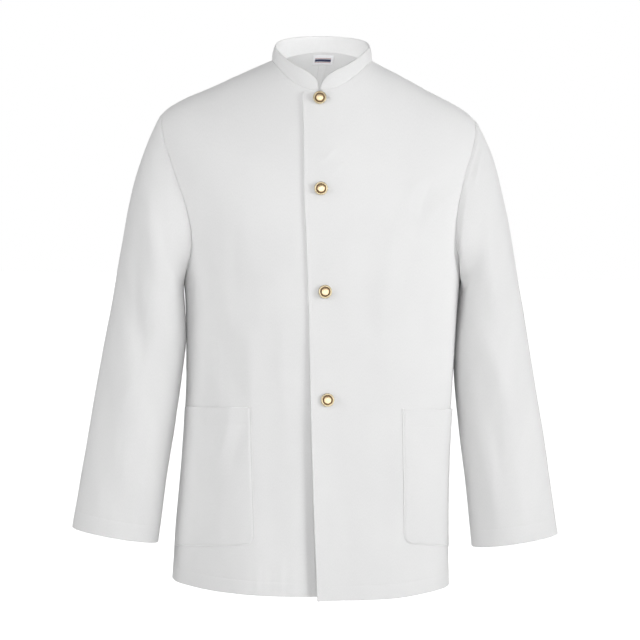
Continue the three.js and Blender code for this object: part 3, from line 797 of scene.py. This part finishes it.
def label_material():
    """Woven ribbon with a plain dark blue band between two fine red lines."""
    mat, nodes, links, shader = material("label_woven")
    uv = nodes.new("ShaderNodeTexCoord").outputs["UV"]
    split = nodes.new("ShaderNodeSeparateXYZ")
    links.new(uv, split.inputs["Vector"])
    height = range_node(nodes, links, split.outputs["Y"], {"From Max": LABEL_HEIGHT * MM})
    across = range_node(nodes, links, split.outputs["X"], {"From Max": 2 * LABEL_HALF * MM})
    white, navy, red = (0.93, 0.93, 0.95), (0.03, 0.035, 0.09), (0.32, 0.05, 0.06)
    colours = (white, red, white, navy, white, red, white)
    stops = list(zip((0, 0.24, 0.29, 0.36, 0.66, 0.73, 0.78), colours))
    inside = [(0, (0, 0, 0)), (0.1, (1, 1, 1)), (0.9, (0, 0, 0))]
    mix = nodes.new("ShaderNodeMix")
    mix.data_type = "RGBA"
    mix.inputs["A"].default_value = (*white, 1)
    links.new(ramp_node(nodes, links, across, inside, "CONSTANT"), mix.inputs["Factor"])
    links.new(ramp_node(nodes, links, height, stops, "CONSTANT"), mix.inputs["B"])
    links.new(mix.outputs["Result"], shader.inputs["Base Color"])
    weave = noise_node(nodes, links, uv, 1600, 2, (0.3, 1, 1))
    links.new(bump_node(nodes, links, weave, 0.00015, 0.5), shader.inputs["Normal"])
    put(shader, {"Roughness": 0.55, "Sheen Weight": 0.2})
    return mat


COTTON = cotton_material()
SOFT = {"Roughness": 0.6, "Sheen Weight": 0.2}
THREAD = grained("thread_white", 1400, 2, (0.8, 0.8, 0.8), (0.88, 0.88, 0.88), (0.0002, 0.5), SOFT)
GOLD = gold_material("button_gold", (0.8, 0.63, 0.4), (0.88, 0.71, 0.48), 0.48, 0.6)
# The rim and back are a darker copy of the button gold: painted shade on the rim
RIM_SHADE = gold_material("button_rim_shade", (0.42, 0.36, 0.24), (0.54, 0.46, 0.31), 0.36, 0.5)
# Dark brown painted shade in the groove between a button's rim and its cap
GROOVE_SURFACE = {"Roughness": 0.38, "Metallic": 0.5}
GROOVE_SHADE_BROWN = (0.07, 0.042, 0.02), (0.15, 0.09, 0.045)
GROOVE_SHADE = grained("button_groove_shade", 900, 3, *GROOVE_SHADE_BROWN, (0.0001, 0.4), GROOVE_SURFACE)
RIBBON = label_material()


# ---- body panels


def lap_lift(x, place):
    """Lift of the outer front over the under front, fading out past the under one's edge."""
    past = x - closure_x(place) - LAP
    return LAP_LIFT * (1 - smoothstep(past, LAP_FADE_FROM, LAP_FADE))


NECK_RUN = float(np.linalg.norm(body_form(0, NECK) - body_form(0, NECK - 0.1)) / 0.1)


def lap_sink(x, place):
    """How far, in places, the lap's top edge sinks below the collar half in front of it."""
    share = smoothstep(closure_x(place) - x, -LAP_SINK_BLEND, LAP_SINK_BLEND)
    return LAP_SINK / NECK_RUN * share * smoothstep(place, NECK - LAP_SINK_RUN, NECK)


def finish_panel(node, cells, height, across, sink=0, drop=0, cloth=CLOTH):
    place = cells["place"]
    point, normal = body_cloth(cells["angle"], place - sink)
    grid = point + normal * height[..., None]
    grid[..., 2] -= drop
    centre = 0 if across[0, 0] == 0 else -1
    up = np.broadcast_to(cells["from_hem"][:, centre, None], across.shape)
    uv = np.stack([across, up], -1)
    obj = cloth_shell(f"cloth_{node}", grid, normal, cloth, uv, COTTON)
    near = np.minimum(np.abs(place - ARMPIT), np.abs(place - SHOULDER_TIP))
    edges = smoothstep(np.minimum(cells["from_start"], cells["from_stop"]), 0, 12)
    share = edges * bell(near, SKEWED_ROWS)
    shade_outside(obj, place.size, cloth_normal(cells["angle"], place), share)
    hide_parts(node)
    return obj, grid, normal


def front_left():
    depths = np.array([0.8, 2, 4, 6, 8.5, LAP_CORNER_RADIUS])
    places = np.sort(np.concatenate([body_places(), NECK - depths / NECK_RUN - 1e-4]))
    cut = corner_cut((NECK - places) * NECK_RUN, LAP_CORNER_RADIUS)
    start = angle_at_x(closure_x(places) - LAP + cut, places)
    steps, seam = near_steps(FRONT_STITCH), near_steps()
    cells = panel(start, front_side(places), places, FRONT_CELLS, steps, seam)
    x = body_form(cells["angle"], cells["place"])[..., 0]
    low = 1 - smoothstep(cells["place"], 0, LAP_FLARE_TOP)
    flare = LAP_FLARE * low * bell(cells["from_start"], LAP_FLARE_WIDE)
    rise = LAP_EDGE_RISE * bell(cells["from_start"], LAP_EDGE_WIDE)
    height = lap_lift(x, cells["place"]) + flare + rise
    height += seam_shape(cells["from_stop"], cells["from_hem"], 11)
    height += stitch_dips(cells["from_start"], [FRONT_STITCH])
    height += stitch_dips(cells["from_hem"], [HEM_STITCH])
    drop = OUTER_HEM_DROP * (1 - smoothstep(x, OUTER_HEM_DROP_TO, OUTER_HEM_DROP_FADE))
    drop *= 1 - smoothstep(cells["from_hem"], 0, OUTER_HEM_DROP_HIGH)
    sink = lap_sink(x, cells["place"])
    thick = LAP_EDGE_CLOTH * bell(cells["from_start"], LAP_EDGE_CLOTH_WIDE)
    made = finish_panel("front_left", cells, height, cells["from_start"], sink, drop, CLOTH + thick)
    return *made, nearest(steps, FRONT_STITCH)


def front_right():
    places = body_places()
    stop = angle_at_x(closure_x(places) + LAP, places)
    cells = panel(-front_side(places), stop, places, FRONT_CELLS, near_steps(), near_steps(FRONT_STITCH))
    x = body_form(cells["angle"], cells["place"])[..., 0]
    low = 1 - smoothstep(cells["place"], 0, LAP_FLARE_TOP)
    lap_edge = closure_x(cells["place"]) - LAP
    dip = bell(x - lap_edge, np.where(x < lap_edge, UNDER_DIP_WIDE, 2 * LAP))
    height = -UNDER_DIP * np.maximum(low, UNDER_DIP_ALWAYS) * dip
    height += seam_shape(cells["from_start"], cells["from_hem"], 12)
    height += stitch_dips(cells["from_stop"], [FRONT_STITCH])
    height += stitch_dips(cells["from_hem"], [HEM_STITCH])
    return finish_panel("front_right", cells, height, -cells["from_stop"])


def back(node, start, stop, places, seed):
    cells = panel(start, stop, places, BACK_CELLS, near_steps(), near_steps())
    height = seam_shape(cells["from_start"], cells["from_hem"], seed)
    height += seam_shape(cells["from_stop"], cells["from_hem"], seed + 1)
    height += stitch_dips(cells["from_hem"], [HEM_STITCH])
    across = -cells["from_stop"] if start[0] > 0 else cells["from_start"]
    return finish_panel(node, cells, height, across)


# ---- sleeves


def armhole(side, turn):
    rise = (1 + np.cos(turn)) / 2
    place = lerp(ARMPIT, SHOULDER_TIP, rise)
    angle = side * np.where(np.sin(turn) >= 0, front_side(place), back_side(place))
    point, normal = body_cloth(angle, place)
    return point + normal * SLEEVE_LIFT, normal


def sleeve_ring(side, turn, place):
    c, s = np.cos(turn), np.sin(turn)
    at = {name: along(column, place) for name, column in SLEEVE.items()}
    across = (1 + c) / 2
    closer = SLEEVE_CLOSER * smoothstep(place, 0.3, 0.9) * (1 - smoothstep(place, 4, 5))
    x = side * lerp(at["inX"] - closer, at["outX"], across)
    x = x + lerp(at["inShift"], at["outShift"], across)
    y = at["mid"] - np.where(s >= 0, at["fore"], at["rear"]) * s
    higher = RIGHT_CUFF_HIGHER * (place / CUFF) ** 2 if side < 0 else 0
    return np.stack([x, y, lerp(at["inZ"], at["outZ"], across) + higher], -1)


def sleeve_form(side, turn, place):
    miss = armhole(side, turn)[0] - sleeve_ring(side, turn, np.zeros_like(place))
    fit = 1 - smoothstep(place, 0, SLEEVE_HEAD_BLEND)
    return sleeve_ring(side, turn, place) + miss * fit[..., None]


def sleeve_places():
    even = CUFF * np.linspace(0, 1, SLEEVE_ROWS) ** 1.12
    start = np.array([0, 0.008, 0.02, 0.04, 0.065])
    cuff = CUFF - near_steps(CUFF_STITCH) / CUFF_RUN
    return np.sort(np.concatenate([clear_of(even, [*start, *cuff], SLEEVE_ROW_CLEAR), start, cuff]))


def sleeve(node, side, creases, seed):
    places = sleeve_places()
    turns = np.arange(SLEEVE_CELLS) * 2 * math.pi / SLEEVE_CELLS
    turn, place = np.broadcast_arrays(turns[None], places[:, None])
    safe = np.maximum(place, 0.02)
    step = 0.02
    across = sleeve_form(side, turn + step, safe) - sleeve_form(side, turn - step, safe)
    down = sleeve_form(side, turn, safe + step / 2) - sleeve_form(side, turn, safe - step / 2)
    normal = unit(np.cross(across, down)) * side
    grid = sleeve_form(side, turn, place)
    from_head = path_length(grid)
    from_cuff = from_head[-1] - from_head
    x, z, facing = side * grid[..., 0], grid[..., 2], normal[..., 1]
    fade = smoothstep(place, SLEEVE_FOLDS_FROM, SLEEVE_HEAD_BLEND)
    height = fade * fold_height(SLEEVE_FOLDS, x, z, facing)
    height += smoothstep(from_head, 2, 14) * fold_height(creases, x, z, facing)
    around = turn * 60
    height += ripples(around, z, SLEEVE_RIPPLES, seed) * smoothstep(from_head, 4, 30)
    head = bell(from_head - SLEEVE_HEAD_FROM, SLEEVE_HEAD_WIDE)
    height += SLEEVE_HEAD_PUCKER * PUCKER * head * soft_noise(around / 9, from_head / 22, seed + 2)
    height += stitch_dips(from_cuff, [CUFF_STITCH])
    base_normal = armhole(side, turn)[1]
    tuck = SLEEVE_TUCK * bell(from_head, SLEEVE_TUCK_WIDE)
    grid = grid + normal * height[..., None] - base_normal * tuck[..., None]
    uv = np.stack([around, -from_head], -1)
    line = nearest(from_cuff[:, 0], CUFF_STITCH)
    grid, normal, uv = (v[::-1, ::-side] for v in (grid, normal, uv))
    obj = cloth_shell(f"cloth_{node}", grid, normal, CLOTH, uv, COTTON, looped=True)
    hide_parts(node)
    return obj, grid, normal, len(places) - 1 - line


# ---- collar


def collar_top(forward):
    """Height of the collar's top edge, given how far round to the front (1) or the back (-1)."""
    front = lerp(COLLAR_TOP_SIDE, COLLAR_TOP_FRONT, forward**2)
    back = lerp(COLLAR_TOP_SIDE, COLLAR_TOP_BACK, np.abs(forward) ** COLLAR_BACK_ROUND)
    return np.where(forward >= 0, front, back)


def collar_end_cut(from_end):
    """How far the collar's curved end cuts into its top edge."""
    inside = np.clip(1 - from_end / COLLAR_END_RUN, 0, 1)
    return COLLAR_END_DROP * (1 - np.sqrt(1 - inside**2))


def collar():
    middle = float(angle_at_x(closure_x(NECK), NECK))
    radius = float(along(BODY["half"], np.float64(NECK)))
    slit = COLLAR_SLIT / 2 / radius
    fine = np.linspace(middle + slit, middle + 2 * math.pi - slit, 1200)
    sums = path_length(body_form(fine, NECK))
    near = np.array([0, 0.4, 1, 1.8, 2.8, 4, 5.5, 7.2, 9, 11, 13])
    distance = row_distances(sums[-1], COLLAR_CELLS, near, near)
    angle = np.interp(distance, sums, fine)
    neck = np.full(angle.shape, float(NECK))
    seam, slope = body_cloth(angle, neck)
    below, _ = body_cloth(angle, neck - 0.02)
    past_side = angle > middle + QUARTER
    reach = np.where(past_side, 2 * radius - seam[:, 0], seam[:, 0])
    over = np.where(angle < middle + math.pi, lap_lift(reach, neck), 0)
    base = seam + slope * over[:, None] + unit(seam - below) * COLLAR_SEAM_GAP
    level = unit(slope * np.array([1, 1, 0]))
    end = np.minimum(distance, sums[-1] - distance)
    forward = np.cos(angle - middle)
    full = collar_top(forward) - collar_end_cut(end) - base[:, 2]
    shares = np.concatenate([[0, 0.02, 0.05], np.linspace(0.1, 0.95, COLLAR_ROWS), [0.975, 1]])
    rise = full[None] * shares[:, None]
    grid = base[None] - level[None] * (COLLAR_LEAN_IN * rise)[..., None]
    grid[..., 2] += rise
    bow = COLLAR_BOW * np.sin(math.pi * shares)[:, None] * np.ones_like(rise)
    edge = full[None] - rise
    dips = stitch_dips(edge, [COLLAR_STITCH]) + seam_shape(rise, np.broadcast_to(distance, rise.shape), 33)
    height = bow + ripples(distance, rise, COLLAR_RIPPLES) * smoothstep(rise, 0, 6) + dips
    normal = np.where(shares[:, None, None] < 0.01, slope[None], level[None])
    grid = grid + normal * height[..., None]
    uv = np.stack([np.broadcast_to(distance, rise.shape), rise], -1)
    obj = cloth_shell("cloth_collar", grid, normal, COLLAR_CLOTH, uv, COTTON)
    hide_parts("collar")
    top = nearest(edge[:, len(distance) // 2], COLLAR_STITCH)
    return obj, grid, normal, top


# ---- pockets


def pocket(node, side, seed):
    fall = float(np.linalg.norm(body_form(0, 1) - body_form(0, 0)))
    height = POCKET_TOP_INNER - POCKET_FOOT_INNER
    near = near_steps(POCKET_STITCH)
    corner = np.array([4.6, 6, 7.5, 9, 11, 13, POCKET_CORNER_RADIUS])
    top = near_steps(POCKET_TOP_STITCH)
    total = height * fall
    foot = np.concatenate([near, corner[corner > near[-1]]])
    distance = row_distances(total, POCKET_ROWS, foot, top)
    rises = distance / total
    inner = lerp(POCKET_FOOT_INNER, POCKET_TOP_INNER, rises)
    outer = lerp(POCKET_FOOT_SIDE, POCKET_TOP_SIDE, rises)
    cut = corner_cut(distance, POCKET_CORNER_RADIUS)
    start = angle_at_x(closure_x(inner) + side * (POCKET_INNER + cut), inner)
    stop = side * (QUARTER - POCKET_SIDE_GAP / along(BODY["fore"], outer))
    share_line = np.linspace(0, 1, ARC + 1)
    rows = []
    for r in range(len(rises)):
        fine = lerp(start[r], stop[r], share_line)
        sums = path_length(body_form(fine, (inner[r] + outer[r]) / 2))
        want = row_distances(sums[-1], POCKET_CELLS, near, near)
        rows.append((np.interp(want, sums, fine), want, sums[-1] - want, want / sums[-1]))
    angle, from_inner, from_side, share = (np.array(v) for v in zip(*rows))
    place = lerp(inner[:, None], outer[:, None], share)
    point, normal = body_cloth(angle, place)
    up = np.broadcast_to(distance[:, None], angle.shape)
    ease = POCKET_EASE * np.sin(math.pi * share) * np.sin(QUARTER * rises)[:, None]
    gape = POCKET_GAPE * bell(total - up, POCKET_GAPE_WIDE) * np.sin(math.pi * share)
    lift = CLOTH / 2 + POCKET_CLOTH / 2 + POCKET_GAP + ease + gape
    edge = np.minimum(from_inner, np.minimum(up, from_side))
    lift += stitch_dips(edge, [POCKET_STITCH], POCKET_DIP)
    lift += stitch_dips(total - up, [POCKET_TOP_STITCH], POCKET_TOP_DIP)
    lift += PUCKER * bell(edge - PUCKER_OUT, PUCKER_OUT) * soft_noise((up + share * 90) / 7, edge / 12, seed)
    grid = point + normal * lift[..., None]
    uv = np.stack([from_inner * side, up], -1)
    grid, normal, uv = (v[:, ::side] for v in (grid, normal, uv))
    obj = cloth_shell(f"cloth_{node}", grid, normal, POCKET_CLOTH, uv, COTTON)
    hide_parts(node)
    column = nearest(near, POCKET_STITCH)
    ends = (column, grid.shape[1] - 1 - column)
    inner_column, side_column = ends[::side]
    foot_row = nearest(distance, POCKET_STITCH)
    top_row = nearest(total - distance, POCKET_TOP_STITCH)
    span = slice(ends[0], ends[1] + 1)
    lift = POCKET_CLOTH / 2 + THREAD_LIFT
    runs = [
        (grid[foot_row:, inner_column], normal[foot_row:, inner_column], lift),
        (grid[foot_row:, side_column], normal[foot_row:, side_column], lift),
        (grid[foot_row, span], normal[foot_row, span], lift),
        (grid[top_row, span], normal[top_row, span], lift),
    ]
    return obj, stitches(f"stitches_{node}", runs)


# ---- buttons and buttonholes

# Outline of a button from its back: radius, height and the metal of the band above it,
# 0 the cap, 1 the groove, 2 the rim and back
BUTTON_PROFILE = table(
    "radius height metal",
    """
0 0 2
2 0 2
2.4 0.3 2
2.4 2.1 2
2.7 2.4 2
7.6 2.4 2
8.6 2.55 2
9.35 2.95 2
9.68 3.5 2
9.7 3.8 2
9.5 4.25 2
9.05 4.6 2
8.5 4.75 2
7.9 4.7 2
7.4 4.45 2
7.1 4.1 1
6.8 3.85 1
5.6 3.85 1
5.35 4 0
5.3 4.4 0
5.25 4.9 0
5.05 5.6 0
4.55 6.2 0
3.7 6.68 0
2.6 7 0
1.3 7.17 0
0 7.2 0
""",
)


def button(index, place):
    angle = float(angle_at_x(closure_x(place), place))
    point, normal = (v.reshape(3) for v in body_cloth(np.array([angle]), np.array([place])))
    level = unit(normal * np.array([1, 1, BUTTON_LEVEL]))
    turn = Vector((0, 0, 1)).rotation_difference(Vector(level))
    radius, height, metal = (column[1:-1] for column in BUTTON_PROFILE.values())
    spin = np.arange(BUTTON_SEGMENTS) * 2 * math.pi / BUTTON_SEGMENTS
    ring = np.stack([np.cos(spin), np.sin(spin), np.zeros(len(spin))], -1)
    rings = radius[:, None, None] * ring + height[:, None, None] * np.array([0, 0, 1])
    ends = [(0, 0, 0), (0, 0, BUTTON_PROFILE["height"][-1])]
    verts = np.concatenate([rings.reshape(-1, 3), ends])
    rotate = np.array(turn.to_matrix())
    verts = verts @ rotate.T + point + normal * BUTTON_SEAT
    faces, slots = [], []
    n = BUTTON_SEGMENTS
    for row in range(len(radius) - 1):
        for k in range(n):
            a, b = row * n + k, row * n + (k + 1) % n
            faces.append((a, b, b + n, a + n))
            slots.append(metal[row])
    foot, crown, last = len(verts) - 2, len(verts) - 1, (len(radius) - 1) * n
    for k in range(n):
        faces.append((foot, (k + 1) % n, k))
        faces.append((crown, last + k, last + (k + 1) % n))
        slots += [2, 0]
    obj = new_object(f"button_metal_{index}", verts, faces, None, GOLD)
    for band in (GROOVE_SHADE, RIM_SHADE):
        obj.data.materials.append(band)
    obj.data.polygons.foreach_set("material_index", np.array(slots, "i"))
    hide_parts(f"button_{index}")
    return obj


def buttonhole(index, place, reach):
    """Two rows of close stitches along a slit, with the slit's bar at its outer end."""
    ends = []
    for x in np.arange(-2, reach, 0.62):
        ends += [((x, 0.25), (x, 1.75)), ((x, -0.25), (x, -1.75))]
    for y in np.arange(-1.6, 1.7, 0.5):
        ends.append(((reach, y), (reach + 1.3, y)))
    x, y = np.moveaxis(np.array(ends), -1, 0)
    at = place + y / (CHEST_RUN if place < SHOULDER_TIP else TOP_RUN)
    point, normal = body_cloth(angle_at_x(closure_x(at) + x, at), at)
    path = point + normal * (LAP_LIFT + CLOTH / 2 + THREAD_LIFT)
    name = f"buttonhole_{index}"
    return threads(name, path[:, 0], path[:, 1], normal[:, 0], HOLE_RADIUS, HOLE_SHAPE)


# ---- inside of the neck


def inside_strip(name, node, half, low, high, thickness, rows, columns, mat, slot, layer=0.0):
    """A flat piece sewn on the inside of the centre back."""
    places = np.linspace(low, high, rows)[:, None]
    across = np.linspace(-half, half, columns)[None]
    sine = (np.abs(across) / along(BODY["half"], places)) ** (1 / along(BODY["soft"], places))
    angle, place = np.broadcast_arrays(math.pi + np.sign(across) * np.arcsin(sine), places)
    point, normal = body_cloth(angle, place)
    grid = point - normal * (CLOTH / 2 + thickness / 2 + STRIP_GAP + layer)
    uv = np.stack(np.broadcast_arrays(across + half, path_length(grid[:, :1])), -1)
    obj = cloth_shell(name, grid, normal, thickness, uv, mat)
    if node:
        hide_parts(node)
    return obj


# ---- build

every = slice(None)
places = body_places()
hem_row = nearest(places, HEM_STITCH / HEM_RUN)
centre_back = np.full(len(places), math.pi)

# Each piece as its object, points and normals, and the rows and columns of its stitches
made, lines = {}, {}
*made["front_left"], edge = front_left()
made["front_right"] = front_right()
made["back_left"] = back("back_left", back_side(places), centre_back, places, 13)
made["back_right"] = back("back_right", -centre_back, -back_side(places), places, 15)
for node in made:
    lines[node] = [(hem_row, every)]
lines["front_left"] = [(every, edge), (hem_row, slice(edge, -2))]
*made["sleeve_left"], row = sleeve("sleeve_left", 1, LEFT_SLEEVE_CREASES, 41)
lines["sleeve_left"] = [(row, every)]
*made["sleeve_right"], row = sleeve("sleeve_right", -1, RIGHT_SLEEVE_CREASES, 51)
lines["sleeve_right"] = [(row, every)]
*made["collar"], row = collar()
lines["collar"] = [(row, slice(8, -8))]

objects = {node: piece[0] for node, piece in made.items()}
sewing = {}
for node, side, seed in (("pocket_left", 1, 61), ("pocket_right", -1, 62)):
    objects[node], sewing[node] = pocket(node, side, seed)
label = (LABEL_HALF, LABEL_FOOT, LABEL_TOP, LABEL_CLOTH, 14, 40, RIBBON, "label_cloth")
objects["label"] = inside_strip("label_ribbon", "label", *label, LABEL_OVER_TAPE)
tape = (TAPE_HALF, TAPE_FOOT, TAPE_TOP, TAPE_CLOTH, 240, 8, COTTON, "cotton")
objects["tape"] = inside_strip("tape_centre_back", None, *tape)
for node, (_, grid, normal) in made.items():
    lift = (COLLAR_CLOTH if node == "collar" else CLOTH) / 2 + THREAD_LIFT
    runs = [(grid[line], normal[line], lift) for line in lines[node]]
    sewing[node] = stitches(f"stitches_{node}", runs)
buttons = [button(i + 1, place) for i, place in enumerate(BUTTON_PLACES)]
holes = [
    buttonhole(i + 1, place, reach)
    for i, (place, reach) in enumerate(zip(BUTTON_PLACES, BUTTONHOLE_ENDS))
]

# ---- studio

CAMERA_TARGET = (0.005, 0, -0.387)
CAMERA_DISTANCE = 3.2
CAMERA_AZIMUTH = -4.5
CAMERA_ELEVATION = 2
CAMERA_ROLL = 0.9


def floor():
    bpy.ops.mesh.primitive_circle_add(vertices=96, radius=60, fill_type="NGON", location=(0, 0, -1.2))
    obj = bpy.context.object
    obj.name = "floor"
    glow = {"Roughness": 0.9, "Emission Color": (1, 1, 1, 1), "Emission Strength": 1}
    pale = grained("floor_pale", 3, 3, (0.88, 0.88, 0.88), (0.9, 0.9, 0.9), None, glow)
    obj.data.materials.append(pale)
    obj.visible_diffuse = False


def area_light(name, place, size, power, target=(0, 0, -0.38)):
    data = bpy.data.lights.new(name, "AREA")
    data.shape = "DISK"
    data.size = size
    data.energy = power
    obj = in_scene(name, data)
    obj.location = place
    obj.rotation_mode = "QUATERNION"
    obj.rotation_quaternion = (Vector(target) - Vector(place)).to_track_quat("-Z", "Y")


def world():
    """A white surround for the camera, and a dimmer one to light the object."""
    made = bpy.data.worlds.new("studio")
    bpy.context.scene.world = made
    made.use_nodes = True
    nodes, links = made.node_tree.nodes, made.node_tree.links
    nodes.clear()
    seen, light = nodes.new("ShaderNodeBackground"), nodes.new("ShaderNodeBackground")
    put(seen, {"Color": (1, 1, 1, 1)})
    split = nodes.new("ShaderNodeSeparateXYZ")
    links.new(nodes.new("ShaderNodeTexCoord").outputs["Generated"], split.inputs["Vector"])
    levels = {"From Min": 0, "From Max": 0.9, "To Min": 0.5, "To Max": 0.22}
    links.new(range_node(nodes, links, split.outputs["Z"], levels), light.inputs["Strength"])
    path, mix = nodes.new("ShaderNodeLightPath"), nodes.new("ShaderNodeMixShader")
    links.new(path.outputs["Is Camera Ray"], mix.inputs["Fac"])
    links.new(light.outputs["Background"], mix.inputs[1])
    links.new(seen.outputs["Background"], mix.inputs[2])
    out = nodes.new("ShaderNodeOutputWorld")
    links.new(mix.outputs["Shader"], out.inputs["Surface"])


def camera():
    turn, rise = math.radians(CAMERA_AZIMUTH), math.radians(CAMERA_ELEVATION)
    flat = math.cos(rise)
    back_way = Vector((math.sin(turn) * flat, -math.cos(turn) * flat, math.sin(rise)))
    data = bpy.data.cameras.new("camera")
    data.lens = 120
    data.sensor_width = 36
    data.clip_end = 200
    obj = in_scene("camera", data)
    obj.location = Vector(CAMERA_TARGET) + back_way * CAMERA_DISTANCE
    obj.rotation_mode = "QUATERNION"
    roll = Quaternion((0, 0, 1), math.radians(CAMERA_ROLL))
    obj.rotation_quaternion = (-back_way).to_track_quat("-Z", "Y") @ roll
    bpy.context.scene.camera = obj


floor()
world()
area_light("key", (3.0, -1.9, 0.25), 1.9, 58)
area_light("fill", (-3.2, -1.5, 0.55), 1.8, 34)
area_light("front", (-0.1, -4.1, 0.5), 1.4, 55)
area_light("rear", (0.4, 2.6, 1.0), 1.8, 26)
area_light("neck", (0, -0.045, -0.035), 0.08, 0.049, target=(0, 0.08, -0.05))
camera()
bpy.context.scene.view_settings.view_transform = "Standard"
